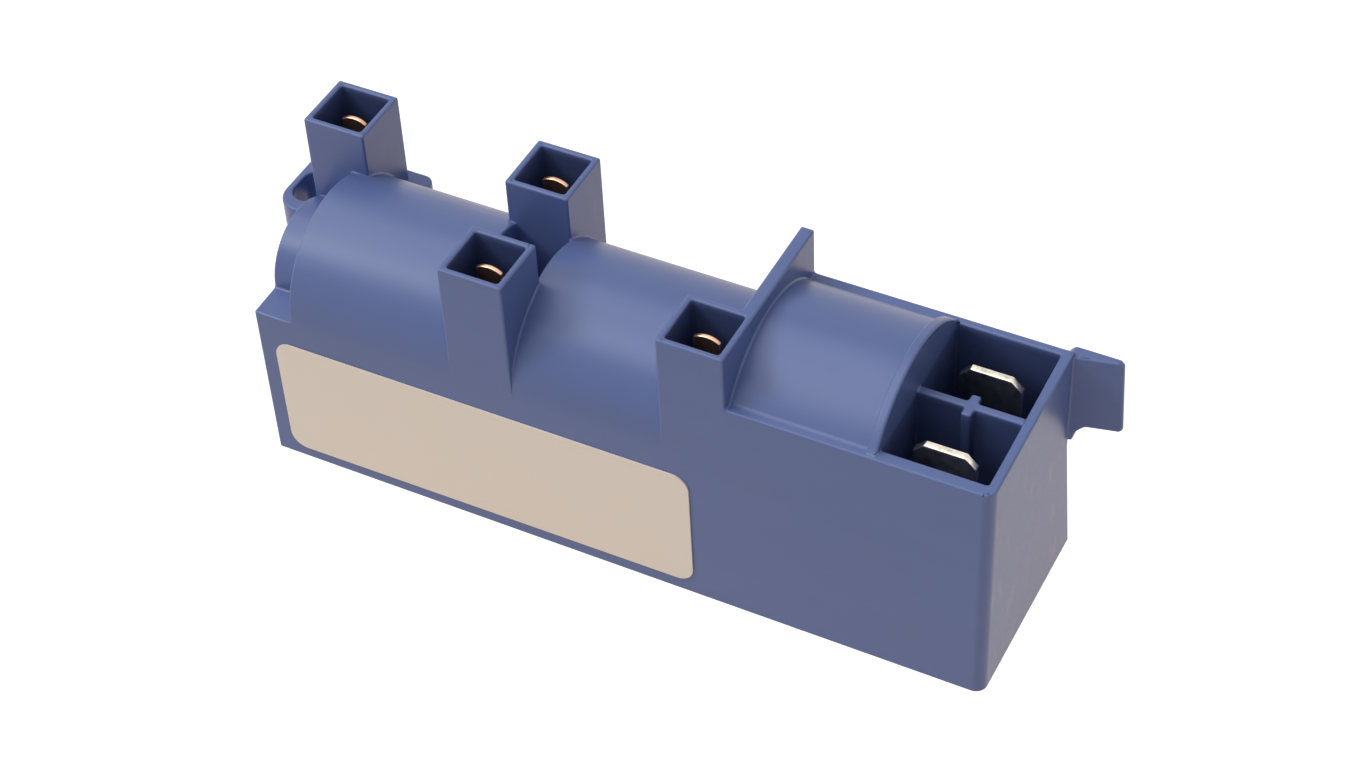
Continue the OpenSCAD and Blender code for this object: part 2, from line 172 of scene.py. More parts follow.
class Graph:
    """The node tree of a material or a world."""

    def __init__(self, owner: bpy.types.Material | bpy.types.World) -> None:
        """Empties the owner's node tree.

        Args:
            owner: the material or world that the nodes belong to.
        """
        owner.use_nodes = True
        self.tree = owner.node_tree
        self.tree.nodes.clear()

    def node(self, kind: str, settings: dict[str, Any] | None = None, inputs: dict[Any, Any] | None = None) -> Made:
        """Adds a node, sets it and links it.

        Args:
            kind: Blender's type name.
            settings: properties, set first; "stops" holds a ramp's (place, colour) pairs.
            inputs: values, Values or outputs for the input sockets, by name or number.

        Returns:
            The new node.
        """
        made = self.tree.nodes.new(kind)
        for name, value in (settings or {}).items():
            if name == "stops":
                self._stops(made.color_ramp, value)
            else:
                setattr(made, name, value)
        for name, value in (inputs or {}).items():
            socket = made.inputs[name]
            if isinstance(value, Value):
                self.tree.links.new(value.socket, socket)
            elif isinstance(value, tuple) and len(value) == 3 and socket.type == "RGBA":
                socket.default_value = (*value, 1.0)
            else:
                socket.default_value = value
        return Made(self, made)

    @staticmethod
    def _stops(ramp: bpy.types.ColorRamp, stops: list[tuple[float, Colour]]) -> None:
        """Gives a colour ramp its stops."""
        while len(ramp.elements) < len(stops):
            ramp.elements.new(1.0)
        for element, (place, colour) in zip(ramp.elements, stops):
            element.position = place
            element.color = (*colour, 1.0)

    def parts(self, point: Value) -> tuple[Value, Value, Value]:
        """The three parts of a vector."""
        split = self.node("ShaderNodeSeparateXYZ", {}, {0: point})
        return split.out(0), split.out(1), split.out(2)

    def place(self, stretch: Colour = (1.0, 1.0, 1.0)) -> Value:
        """The point on the piece in millimetres, stretched along the axes.

        Args:
            stretch: factor along each axis.

        Returns:
            The stretched point.
        """
        point = self.node("ShaderNodeTexCoord").out("Object")
        scale = tuple(1000.0 * s for s in stretch)
        return self.node("ShaderNodeVectorMath", {"operation": "MULTIPLY"}, {0: point, 1: scale}).out()

    def noise(self, point: Value, scale: float, detail: float = 3.0, rough: float = 0.5) -> Value:
        """Noise between about 0 and 1.

        Args:
            point: where it is read, in millimetres.
            scale: cells for each millimetre.
            detail: octaves.
            rough: strength of the finer octaves.

        Returns:
            The noise value.
        """
        inputs = {"Vector": point, "Scale": scale, "Detail": detail, "Roughness": rough}
        return self.node("ShaderNodeTexNoise", {"noise_dimensions": "3D"}, inputs).out(0)

    def mix(self, share: Any, first: Any, second: Any) -> Value:
        """A colour between two.

        Args:
            share: 0 for the first colour, 1 for the second.
            first: first colour.
            second: second colour.

        Returns:
            The mixed colour.
        """
        settings = {"data_type": "RGBA", "clamp_factor": True}
        made = self.tree.nodes.new("ShaderNodeMix")
        for name, value in settings.items():
            setattr(made, name, value)
        sockets = {0: share, 6: first, 7: second}
        for index, value in sockets.items():
            if isinstance(value, Value):
                self.tree.links.new(value.socket, made.inputs[index])
            else:
                made.inputs[index].default_value = (*value, 1.0) if isinstance(value, tuple) else value
        return Value(self, made.outputs[2])

    def bump(self, height: Value, depth: float) -> Value:
        """A bumped normal.

        Args:
            height: relief between 0 and 1.
            depth: height of the relief in millimetres.

        Returns:
            The normal.
        """
        return self.node("ShaderNodeBump", {}, {"Height": height, "Distance": depth * MM, "Strength": 1.0}).out()


@dataclass(frozen=True)
class Finish:
    """A surface finish, whose material is made once and shared."""

    name: str
    colour: Colour
    roughness: float
    metallic: float = 0.0

    def colour_at(self, graph: Graph, point: Value) -> Value:
        """The colour over the surface: a soft mottle of the base colour."""
        mottle = graph.noise(point, 0.15, 4.0, 0.6)
        dark = tuple(0.88 * c for c in self.colour)
        light = tuple(min(1.0, 1.10 * c) for c in self.colour)
        return graph.mix(mottle, dark, light)

    def roughness_at(self, graph: Graph, point: Value) -> Value:
        """The roughness over the surface."""
        return graph.noise(point, 0.9, 3.0) * 0.12 + (self.roughness - 0.06)

    def relief_at(self, graph: Graph, point: Value) -> tuple[Value, float]:
        """The relief over the surface and its depth in millimetres."""
        return graph.noise(point, 4.0, 2.0), 0.004

    def shader(self, graph: Graph, point: Value) -> Made:
        """The Principled shader with what changes over the surface linked to it."""
        height, depth = self.relief_at(graph, point)
        return graph.node(
            "ShaderNodeBsdfPrincipled",
            {},
            {
                "Base Color": self.colour_at(graph, point),
                "Roughness": self.roughness_at(graph, point),
                "Metallic": self.metallic,
                "Normal": graph.bump(height, depth),
            },
        )

    def material(self) -> bpy.types.Material:
        """The material, made the first time it is asked for."""
        known = bpy.data.materials.get(self.name)
        if known is not None:
            return known
        made = bpy.data.materials.new(self.name)
        graph = Graph(made)
        shader = self.shader(graph, graph.place())
        graph.node("ShaderNodeOutputMaterial", {}, {"Surface": shader.out()})
        return made


@dataclass(frozen=True)
class MouldedPlastic(Finish):
    """Satin injection-moulded plastic: a fine spark-eroded grain with faint flow marks along the length."""

    grain: float = 0.006

    def colour_at(self, graph: Graph, point: Value) -> Value:
        """Base colour with faint flow marks and a little dust in the grain."""
        flow = graph.noise(graph.place((0.05, 0.25, 0.25)), 1.0, 4.0, 0.55)
        speck = graph.noise(point, 6.0, 2.0).step(0.62, 0.80)
        dark = tuple(0.90 * c for c in self.colour)
        light = tuple(min(1.0, 1.10 * c) for c in self.colour)
        pale = tuple(min(1.0, 0.9 * c + 0.04) for c in self.colour)
        return graph.mix(speck * 0.25, graph.mix(flow, dark, light), pale)

    def roughness_at(self, graph: Graph, point: Value) -> Value:
        """Satin, with handling marks that are a little smoother."""
        rubbed = graph.noise(graph.place((0.2, 0.6, 0.2)), 1.0, 3.0).step(0.55, 0.75)
        return graph.noise(point, 2.5, 3.0) * 0.10 + rubbed * -0.05 + (self.roughness - 0.05)

    def relief_at(self, graph: Graph, point: Value) -> tuple[Value, float]:
        """Fine grain over a faint waviness."""
        return graph.noise(point, 7.0, 2.0) * 0.5 + graph.noise(point, 0.35, 2.0) * 2.0, self.grain


@dataclass(frozen=True)
class ShadedWell:
    """An open well in the housing, whose walls get painted shade, darker from its rim down."""

    middle: tuple[float, float]
    half: tuple[float, float]
    rim: float
    # height where the painted shade is full
    dark: float
    floor: float
    rise: float = 0.0

    def shade(self, graph: Graph, point: Value) -> Value:
        """How much painted shade a point gets in the well.

        With m and h the middle and half size, the mask is the product of the smooth steps of |x - mx| and |y - my|
        past hx and hy. The painted shade is two thirds a quick step just below the rim and one third a slow one down
        to the height where it is dark, both of z - rise y, and ends below the floor.

        Args:
            graph: the graph that the nodes are added to.
            point: where it is read, in millimetres.

        Returns:
            0 outside the well and at its rim, 1 where it is dark.
        """
        x, y, z = graph.parts(point)
        level = z - y * self.rise
        beside = [abs(v - m).step(h - 0.1, h + 0.1) for v, m, h in zip((x, y), self.middle, self.half)]
        quick = level.step(self.rim - 0.9, self.rim - 0.1)
        slow = level.step(self.dark, self.rim - 0.5)
        above = level.step(self.floor - 0.4, self.floor - 0.2)
        return above * (1.0 - beside[0]) * (1.0 - beside[1]) * (1.0 - quick * 0.67 - slow * 0.33)


@dataclass(frozen=True)
class WellShadedPlastic(MouldedPlastic):
    """The housing's plastic with painted shade in its wells: darker and less red from each rim down, standing in for
    the shade there.
    """

    wells: tuple[ShadedWell, ...] = ()
    # strength of the painted shade in the wells
    depth: float = 0.78

    def colour_at(self, graph: Graph, point: Value) -> Value:
        """The plastic's colour with painted shade in the wells, darker and less red there."""
        shade = sum((well.shade(graph, point) for well in self.wells), 0.0)
        open_colour = MouldedPlastic.colour_at(self, graph, point)
        # the painted shade's colour: dark and less red
        painted_shade_colour = (0.12 * self.colour[0], 0.14 * self.colour[1], 0.22 * self.colour[2])
        return graph.mix(shade * self.depth, open_colour, painted_shade_colour)


@dataclass(frozen=True)
class PrintedLabel(Finish):
    """Plain pale label stock with a faint fibre."""

    def colour_at(self, graph: Graph, point: Value) -> Value:
        """Pale stock with faint fibres and a little yellowing."""
        fibre = graph.noise(graph.place((0.6, 1.0, 3.0)), 3.0, 3.0)
        age = graph.noise(point, 0.08, 2.0)
        pale = graph.mix(fibre, tuple(0.95 * c for c in self.colour), self.colour)
        return graph.mix(age * 0.25, pale, (self.colour[0], 0.95 * self.colour[1], 0.85 * self.colour[2]))

    def relief_at(self, graph: Graph, point: Value) -> tuple[Value, float]:
        """Soft fibre relief."""
        return graph.noise(graph.place((0.6, 1.0, 3.0)), 3.0, 3.0), 0.004


@dataclass(frozen=True)
class StampedMetal(Finish):
    """Stamped and plated strip with fine draw lines that run up it and a darker tarnish in patches."""

    tarnish: Colour = (0.30, 0.24, 0.16)
    lines: float = 0.003

    def colour_at(self, graph: Graph, point: Value) -> Value:
        """Plating with patches of tarnish."""
        patch = graph.noise(point, 0.9, 4.0, 0.6).step(0.45, 0.75)
        return graph.mix(patch * 0.55, self.colour, self.tarnish)

    def roughness_at(self, graph: Graph, point: Value) -> Value:
        """Brushed along the strip."""
        return graph.noise(graph.place((8.0, 8.0, 0.4)), 1.0, 3.0) * 0.04 + (self.roughness - 0.02)

    def relief_at(self, graph: Graph, point: Value) -> tuple[Value, float]:
        """Draw lines along the strip."""
        return graph.noise(graph.place((10.0, 10.0, 0.3)), 1.0, 3.0), self.lines


@dataclass(frozen=True)
class WoundWire(Finish):
    """Close turns of enamelled wire, wound round the x axis."""

    pitch: float = 0.25

    def relief_at(self, graph: Graph, point: Value) -> tuple[Value, float]:
        """One rounded ridge for each turn."""
        along = graph.node("ShaderNodeSeparateXYZ", {}, {0: point}).out(0)
        turn = (along * (2.0 * math.pi / self.pitch)).sine() * 0.5 + 0.5
        return turn, 0.06

    def colour_at(self, graph: Graph, point: Value) -> Value:
        """Painted shade between the turns: darker where the relief is low."""
        turn, _ = self.relief_at(graph, point)
        # painted shade in the grooves between the turns
        return graph.mix(turn, tuple(0.35 * c for c in self.colour), self.colour)


@dataclass(frozen=True)
class CastResin(Finish):
    """Cast resin: glossy, gently uneven, with a few small bubbles at its surface."""

    def relief_at(self, graph: Graph, point: Value) -> tuple[Value, float]:
        """Slow waves and small round pits."""
        cells = {"feature": "F1"}
        near = graph.node("ShaderNodeTexVoronoi", cells, {"Vector": point, "Scale": 0.35}).out("Distance")
        pit = near.step(0.03, 0.10)
        return graph.noise(point, 0.12, 2.0) * 2.0 + pit * 0.5, 0.12


def node_box(node: str) -> tuple[np.ndarray, np.ndarray]:
    """Lowest and highest corner of a node's solid, in millimetres."""
    low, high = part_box(node)
    return np.array(low) / MM, np.array(high) / MM


def housing_wells() -> list[ShadedWell]:
    """The wells of the towers, round their pins, and the mains socket, round its two blades, where shade is painted on
    the housing.
    """
    top = node_box("housing")[1][2]
    found = []
    for number in (1, 2, 3, 4):
        low, high = node_box(f"outlet_pin_{number}")
        middle = (low + high) / 2
        found.append(ShadedWell((middle[0], middle[1] - 0.3), (3.1, 3.1), top, top - 9.0, 21.9))
    front, back = node_box("mains_terminal_front"), node_box("mains_terminal_back")
    across, along = (front[0][1] + back[1][1]) / 2 + 0.65, (front[0][0] + front[1][0]) / 2
    found.append(ShadedWell((along, across), (5.65, 9.2), 27.6, 18.5, 17.2, 0.0454))
    return found


class Palette(Enum):
    """The object's finishes."""

    # the housing's colour has painted shade in its wells and socket
    HOUSING = WellShadedPlastic("moulded_housing_plastic", (0.100, 0.146, 0.340), 0.36, wells=tuple(housing_wells()))
    LABEL = PrintedLabel("plain_label_stock", (0.98, 0.84, 0.71), 0.42)
    TIN = StampedMetal("tinned_blade_metal", (0.90, 0.83, 0.70), 0.26, 1.0, lines=0.0001)
    COPPER = StampedMetal("copper_strip_metal", (0.95, 0.56, 0.36), 0.30, 1.0, (0.55, 0.22, 0.10), 0.0015)
    RESIN = CastResin("cast_potting_resin", (0.025, 0.025, 0.030), 0.22)
    BOARD = Finish("phenolic_board", (0.42, 0.29, 0.12), 0.55)
    FERRITE = Finish("dark_ferrite", (0.045, 0.045, 0.050), 0.60)
    BOBBIN = MouldedPlastic("natural_bobbin_plastic", (0.72, 0.68, 0.58), 0.45)
    WIRE = WoundWire("enamelled_copper_wire", (0.62, 0.22, 0.09), 0.35, 0.8)
    CAPACITOR = MouldedPlastic("dipped_capacitor_case", (0.48, 0.04, 0.02), 0.30)
    DIODE = MouldedPlastic("moulded_diode_case", (0.03, 0.03, 0.03), 0.40)
    RESISTOR = Finish("coated_resistor_body", (0.56, 0.47, 0.28), 0.50)


# ---------------------------------------------------------------------------------------------------------------
# Meshes
# ---------------------------------------------------------------------------------------------------------------


def put_in(name: str, points: np.ndarray, faces: list[list[int]], finish: Finish) -> bpy.types.Object:
    """Makes an object of the module from points and faces.

    Args:
        name: the piece's name.
        points: n by 3 array of points in millimetres.
        faces: lists of point numbers, each face's order anticlockwise from outside.
        finish: the piece's finish.

    Returns:
        The new object, riding on the module's one body.
    """
    mesh = bpy.data.meshes.new(name)
    mesh.from_pydata((points * MM).tolist(), [], faces)
    mesh.validate()
    mesh.update()
    made = bpy.data.objects.new(name, mesh)
    bpy.context.scene.collection.objects.link(made)
    mesh.materials.append(finish.material())
    mesh.shade_smooth()
    mesh.set_sharp_from_angle(angle=math.radians(35.0))
    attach(made, ROOT)
    return made


def band_faces(rings: int, count: int) -> list[list[int]]:
    """Quads between neighbouring closed rings of a grid.

    Args:
        rings: number of rings.
        count: points in each ring.

    Returns:
        Face lists, with point (i, j) numbered i * count + j.
    """
    i, j = np.meshgrid(np.arange(rings - 1), np.arange(count), indexing="ij")
    near, far = i * count + j, i * count + (j + 1) % count
    return np.stack([near, far, far + count, near + count], axis=-1).reshape(-1, 4).tolist()


def outward(outline: np.ndarray) -> np.ndarray:
    """Unit normals of a closed anticlockwise outline, at its points.

    Each normal is the mean of the two neighbouring edges' normals, lengthened so that an inset keeps the edges
    parallel: n = (a + b) / (1 + a.b) for unit edge normals a and b.

    Args:
        outline: n by 2 array.

    Returns:
        n by 2 array of normals.
    """
    edge = np.roll(outline, -1, axis=0) - outline
    normal = np.stack([edge[:, 1], -edge[:, 0]], axis=1)
    normal /= np.linalg.norm(normal, axis=1, keepdims=True)
    before = np.roll(normal, 1, axis=0)
    return (normal + before) / (1.0 + np.sum(normal * before, axis=1, keepdims=True))


def strip_points(outline: np.ndarray, y: float, thickness: float, edge: float, steps: int = 4) -> np.ndarray:
    """A flat strip with rounded edges, standing in a plane of constant y.

    The surface is P(u, v) = outline(u) - inset(v) n(u) in x and z, with y running from front to back. Over the edge
    radius r the inset is r (1 - sin t) and y is t's cosine, a quarter circle at each side.

    Args:
        outline: n by 2 array of x and z, anticlockwise seen from the front.
        y: the strip's middle.
        thickness: the strip's thickness.
        edge: radius of the edges.
        steps: rings in each rounded edge.

    Returns:
        Rings by n by 3 array of points.
    """
    turn = np.linspace(0.0, math.pi / 2, steps)
    inset = np.concatenate([edge * (1 - np.sin(turn)), edge * (1 - np.cos(turn))])
    front = -thickness / 2 + edge * (1 - np.cos(turn))
    back = thickness / 2 - edge * (1 - np.sin(turn))
    depth = np.concatenate([front, back])
    flat = outline[None] - inset[:, None, None] * outward(outline)[None]
    return np.stack([flat[..., 0], np.broadcast_to((y + depth)[:, None], flat.shape[:2]), flat[..., 1]], axis=-1)


def smooth_corners(corners: np.ndarray, radii: np.ndarray, steps: int = 6) -> np.ndarray:
    """Rounds the corners of a closed outline.

    Each corner becomes the quadratic curve (1-t)^2 A + 2 t (1-t) C + t^2 B between the points A and B that lie the
    corner's radius away along its two edges.

    Args:
        corners: n by 2 array of corner points.
        radii: n lengths along the edges.
        steps: points on each corner.

    Returns:
        n * steps by 2 array of points.
    """
    before, after = np.roll(corners, 1, axis=0) - corners, np.roll(corners, -1, axis=0) - corners
    a = corners + before / np.linalg.norm(before, axis=1, keepdims=True) * radii[:, None]
    b = corners + after / np.linalg.norm(after, axis=1, keepdims=True) * radii[:, None]
    t = np.linspace(0.0, 1.0, steps)[None, :, None]
    curve = (1 - t) ** 2 * a[:, None] + 2 * t * (1 - t) * corners[:, None] + t**2 * b[:, None]
    return curve.reshape(-1, 2)


def gap(first: bmesh.types.BMEdge, second: bmesh.types.BMEdge) -> float:
    """Least distance from an end of either edge to the other edge, in metres."""
    found = []
    for edge, other in ((first, second), (second, first)):
        start, run = other.verts[0].co, other.verts[1].co - other.verts[0].co
        for vert in edge.verts:
            share = min(1.0, max(0.0, (vert.co - start).dot(run) / run.length_squared))
            found.append((vert.co - start - share * run).length)
    return min(found)


def dress(finish: Finish, *nodes: str) -> None:
    """Gives solids a finish.

    Args:
        finish: the finish.
        nodes: names of the solids.
    """
    for node in nodes:
        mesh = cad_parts[node].data
        mesh.materials.clear()
        mesh.materials.append(finish.material())


# ---------------------------------------------------------------------------------------------------------------
# The module's pieces
# ---------------------------------------------------------------------------------------------------------------


@dataclass(frozen=True)
class Housing:
    """The moulded housing, with the small roundings that a mould leaves on every edge."""

    node: str = "housing"
    slot: str = "housing_plastic"
    edge: float = 0.24
    sharpest: float = 28.0
    cusp: float = 35.0
    run_out: float = 3.6
    stretches: int = 9
    tiny: float = 0.06
    straight: float = 1.2
    flat: float = math.radians(0.6)
    finish: Finish = Palette.HOUSING.value

    def joined(self) -> bmesh.types.BMesh:
        """The solid's mesh with the triangles of each flat face joined, then cut square at its inner corners.

        Returns:
            The joined mesh.
        """
        shell = bmesh.new()
        shell.from_mesh(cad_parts[self.node].data)
        bmesh.ops.remove_doubles(shell, verts=shell.verts, dist=2e-6)
        bmesh.ops.dissolve_limit(
            shell, angle_limit=self.flat, verts=shell.verts, edges=shell.edges, use_dissolve_boundaries=False
        )
        bmesh.ops.collapse(shell, edges=[edge for edge in shell.edges if edge.calc_length() < self.tiny * MM])
        done: set[bmesh.types.BMFace] = set()
        for face in list(shell.faces):
            if face.is_valid and face not in done:
                done |= self.square(shell, self.sheet(face))
        return shell

    def sheet(self, face: bmesh.types.BMFace) -> set[bmesh.types.BMFace]:
        """The faces that lie in one plane with a face and are joined to it."""
        found, open_ends = {face}, [face]
        while open_ends:
            for edge in open_ends.pop().edges:
                for other in edge.link_faces:
                    if other not in found and edge.calc_face_angle(1.0) < self.flat:
                        found.add(other)
                        open_ends.append(other)
        return found

    @staticmethod
    def corner(loop: bmesh.types.BMLoop) -> float:
        """The inner angle of a face at one of its corners, between 0 and a full turn."""
        return loop.calc_angle() if loop.is_convex else 2 * math.pi - loop.calc_angle()

    def square(self, shell: bmesh.types.BMesh, faces: set[bmesh.types.BMFace]) -> set[bmesh.types.BMFace]:
        """Cuts a flat sheet of faces straight across at each sharp inner corner, and joins what lies between.

        Args:
            shell: the mesh that the sheet belongs to.
            faces: the sheet.

        Returns:
            The sheet's new faces.
        """
        cuts: list[tuple[Vector, Vector]] = []
        for vert in {vert for face in faces for vert in face.verts}:
            inner = sum(self.corner(loop) for loop in vert.link_loops if loop.face in faces)
            rim = [edge for edge in vert.link_edges if sum(face in faces for face in edge.link_faces) == 1]
            longest = max(rim, key=lambda edge: edge.calc_length(), default=None)
            turn = self.sharpest if longest is None or longest.calc_length() < self.straight * MM else 3.0
            if longest is not None and math.pi + math.radians(turn) < inner < 2 * math.pi - 0.1:
                cuts.append((vert.co.copy(), (longest.other_vert(vert).co - vert.co).normalized()))
        for place, normal in cuts:
            parts = [*faces, *{edge for face in faces for edge in face.edges}, *{v for face in faces for v in face.verts}]
            made = bmesh.ops.bisect_plane(shell, geom=parts, dist=1e-7, plane_co=place, plane_no=normal)
            faces = {part for part in made["geom"] if isinstance(part, bmesh.types.BMFace)}
        inside = {edge for face in faces for edge in face.edges if all(other in faces for other in edge.link_faces)}
        loose = [
            edge for edge in inside
            if not any(all(abs((vert.co - place).dot(normal)) < 1e-6 for vert in edge.verts) for place, normal in cuts)
        ]
        if cuts and loose:
            bmesh.ops.dissolve_edges(shell, edges=loose)
        return {face for face in faces if face.is_valid}

    def rounded(self, edge: bmesh.types.BMEdge) -> bool:
        """Whether an edge gets a rounding: it turns enough, and is neither in the foot's plane nor in the potting."""
        middle = (edge.verts[0].co + edge.verts[1].co) / 2
        potted = self.potting().find_nearest(middle)[3] < 0.03 * MM
        lifted = max(vert.co.z for vert in edge.verts) > 0.02 * MM
        return lifted and not potted and edge.calc_face_angle(0.0) > math.radians(self.sharpest)

    @cache
    def potting(self) -> BVHTree:
        """The potting's surface, which hides the edges that it touches."""
        solid = bmesh.new()
        solid.from_mesh(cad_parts["potting_resin"].data)
        tree = BVHTree.FromBMesh(solid)
        solid.free()
        return tree

    def cut_at_cusps(self, shell: bmesh.types.BMesh) -> None:
        """Cuts rounded edges that run together in a narrow cusp into short stretches there.

        Args:
            shell: the mesh, which gets the cuts.
        """
        meeting: dict[bmesh.types.BMEdge, bmesh.types.BMVert] = {}
        for face in shell.faces:
            for loop in face.loops:
                pair = (loop.edge, loop.link_loop_prev.edge)
                if self.corner(loop) < math.radians(self.cusp) and all(self.rounded(edge) for edge in pair):
                    meeting.update({edge: loop.vert for edge in pair})
        stretch = self.run_out * MM / self.stretches
        for edge, vert in meeting.items():
            for _ in range(self.stretches):
                if edge.calc_length() < 1.5 * stretch:
                    break
                far = edge.other_vert(vert)
                vert = bmesh.utils.edge_split(edge, vert, stretch / edge.calc_length())[1]
                edge = next(part for part in vert.link_edges if far in part.verts)

    @staticmethod
    def inward(loop: bmesh.types.BMLoop) -> Vector:
        """The direction from a face's edge into the face: the face's normal crossed with the edge's direction."""
        return loop.face.normal.cross(loop.link_loop_next.vert.co - loop.vert.co).normalized()

    def room(self, edge: bmesh.types.BMEdge) -> float:
        """Share of the rounding that fits at an edge, from the gap g to a rounded edge across the same face.

        Args:
            edge: the edge.

        Returns:
            min(1, 0.4 g / radius), or 0 for an edge that stays sharp.
        """
        if not self.rounded(edge):
            return 0.0
        share = 1.0
        for loop in edge.link_loops:
            for other in loop.face.loops:
                facing = -self.inward(loop).dot(self.inward(other))
                touching = any(vert in edge.verts for vert in other.edge.verts)
                if facing > (0.82 if touching else 0.3) and self.rounded(other.edge):
                    share = min(share, 0.4 * gap(edge, other.edge) / (self.edge * MM))
        return share if share > 0.03 else 0.0

    def build(self) -> list[bpy.types.Object]:
        """Joins the solid's triangles and rounds its edges, less where two roundings run together.

        Returns:
            The one piece.
        """
        shell = self.joined()
        self.cut_at_cusps(shell)
        weight = shell.edges.layers.float.new("bevel_weight_edge")
        for edge in shell.edges:
            edge[weight] = self.room(edge)
            edge.smooth = edge[weight] > 0.0 or edge.calc_face_angle(0.0) < math.radians(self.sharpest)
        for face in shell.faces:
            face.smooth = True
        mesh = bpy.data.meshes.new("moulded_housing")
        shell.to_mesh(mesh)
        shell.free()
        piece = bpy.data.objects.new("moulded_housing", mesh)
        bpy.context.scene.collection.objects.link(piece)
        mesh.materials.append(self.finish.material())
        bevel = piece.modifiers.new("mould_roundings", "BEVEL")
        bevel.width = self.edge * MM
        bevel.segments = 3
        bevel.limit_method = "WEIGHT"
        bevel.use_clamp_overlap = False
        bevel.miter_outer = "MITER_ARC"
        shading = piece.modifiers.new("even_shading", "WEIGHTED_NORMAL")
        shading.keep_sharp = True
        shading.weight = 80
        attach(piece, ROOT)
        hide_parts(self.node)
        return [piece]


@dataclass
class FlatLabel:
    """The bare label on the front face."""

    node: str = "label"
    finish: Finish = Palette.LABEL.value

    def build(self) -> list[bpy.types.Object]:
        """Finishes the label's solid.

        Returns:
            The one piece.
        """
        dress(self.finish, self.node)
        return [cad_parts[self.node]]


@dataclass
class MainsBlades:
    """The two flat blades in the mains socket, with cut corners and coined edges."""

    nodes: tuple[str, ...] = ("mains_terminal_front", "mains_terminal_back")
    slot: str = "tinned_brass"
    cut: float = 1.1
    foot: float = 2.0
    edge: float = 0.14
    finish: Finish = Palette.TIN.value

    def outline(self, low: np.ndarray, high: np.ndarray) -> np.ndarray:
        """The blade's outline: a wide blade on a narrow foot, with its upper corners cut.

        Args:
            low: lowest corner of the solid.
            high: highest corner of the solid.

        Returns:
            n by 2 array of x and z, anticlockwise seen from the front.
        """
        x0, x1, z0, z1 = low[0], high[0], low[2], high[2]
        step = z0 + 2.6
        corners = [
            (x0 + self.foot, z0), (x1 - self.foot, z0), (x1 - self.foot, step), (x1, step + 1.0),
            (x1, z1 - self.cut), (x1 - self.cut, z1), (x0 + self.cut, z1), (x0, z1 - self.cut),
            (x0, step + 1.0), (x0 + self.foot, step),
        ]
        return smooth_corners(np.array(corners), np.full(len(corners), 0.12))

    def build(self) -> list[bpy.types.Object]:
        """Builds both blades in the place of their solids.

        Returns:
            The two pieces.
        """
        return [strip_piece(self, node) for node in self.nodes]


@dataclass
class OutletPins:
    """The arched copper pins in the four towers."""

    nodes: tuple[str, ...] = ("outlet_pin_1", "outlet_pin_2", "outlet_pin_3", "outlet_pin_4")
    slot: str = "copper_pin"
    arch: float = 0.8
    edge: float = 0.12
    finish: Finish = Palette.COPPER.value

    def outline(self, low: np.ndarray, high: np.ndarray) -> np.ndarray:
        """The pin's outline: a strip with an arched top of radius arch times its width.

        Args:
            low: lowest corner of the solid.
            high: highest corner of the solid.

        Returns:
            n by 2 array of x and z, anticlockwise seen from the front.
        """
        x0, x1, z0, z1 = low[0], high[0], low[2], high[2]
        width = x1 - x0
        radius = self.arch * width
        half = math.asin(width / 2 / radius) * 0.98
        turn = np.linspace(half, -half, 17)
        arc = np.stack([(x0 + x1) / 2 + radius * np.sin(turn), z1 - radius + radius * np.cos(turn)], axis=1)
        feet = np.array([(x0, z0), (x1, z0)])
        return np.concatenate([feet, arc])

    def build(self) -> list[bpy.types.Object]:
        """Builds the four pins in the place of their solids.

        Returns:
            The four pieces.
        """
        return [strip_piece(self, node) for node in self.nodes]


def strip_piece(maker: MainsBlades | OutletPins, node: str) -> bpy.types.Object:
    """Builds one strip in the place of its solid.

    Args:
        maker: the class that gives the outline, the edge and the finish.
        node: the solid's name.

    Returns:
        The new piece.
    """
    low, high = node_box(node)
    rings = strip_points(maker.outline(low, high), (low[1] + high[1]) / 2, high[1] - low[1], maker.edge)
    count = rings.shape[1]
    faces = band_faces(rings.shape[0], count)
    last = (rings.shape[0] - 1) * count
    faces.append(list(range(count)))
    faces.append([last + k for k in range(count - 1, -1, -1)])
    faces = [face[::-1] if len(face) == 4 else face for face in faces]
    piece = put_in(node + "_strip", rings.reshape(-1, 3), faces, maker.finish)
    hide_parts(node)
    return piece


@dataclass
class Circuit:
    """The potted circuit: the resin that shows from below and the parts inside it."""

    finishes: dict[str, Finish] = field(
        default_factory=lambda: {
            "potting_resin": Palette.RESIN.value,
            "circuit_board": Palette.BOARD.value,
            "ferrite_core_left": Palette.FERRITE.value,
            "ferrite_core_right": Palette.FERRITE.value,
            "bobbin_left": Palette.BOBBIN.value,
            "bobbin_right": Palette.BOBBIN.value,
            "primary_winding_left": Palette.WIRE.value,
            "primary_winding_right": Palette.WIRE.value,
            "secondary_winding_left": Palette.WIRE.value,
            "secondary_winding_right": Palette.WIRE.value,
            "storage_capacitor": Palette.CAPACITOR.value,
            "rectifier_diode": Palette.DIODE.value,
            "blocking_diode": Palette.DIODE.value,
            "input_resistor": Palette.RESISTOR.value,
            "bleed_resistor": Palette.RESISTOR.value,
            "spark_gap_switch": Palette.RESISTOR.value,
        }
    )

    def build(self) -> list[bpy.types.Object]:
        """Finishes the circuit's solids.

        Returns:
            The solids.
        """
        for node, finish in self.finishes.items():
            dress(finish, node)
        return [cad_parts[node] for node in self.finishes]


# ---------------------------------------------------------------------------------------------------------------
# Studio
# ---------------------------------------------------------------------------------------------------------------


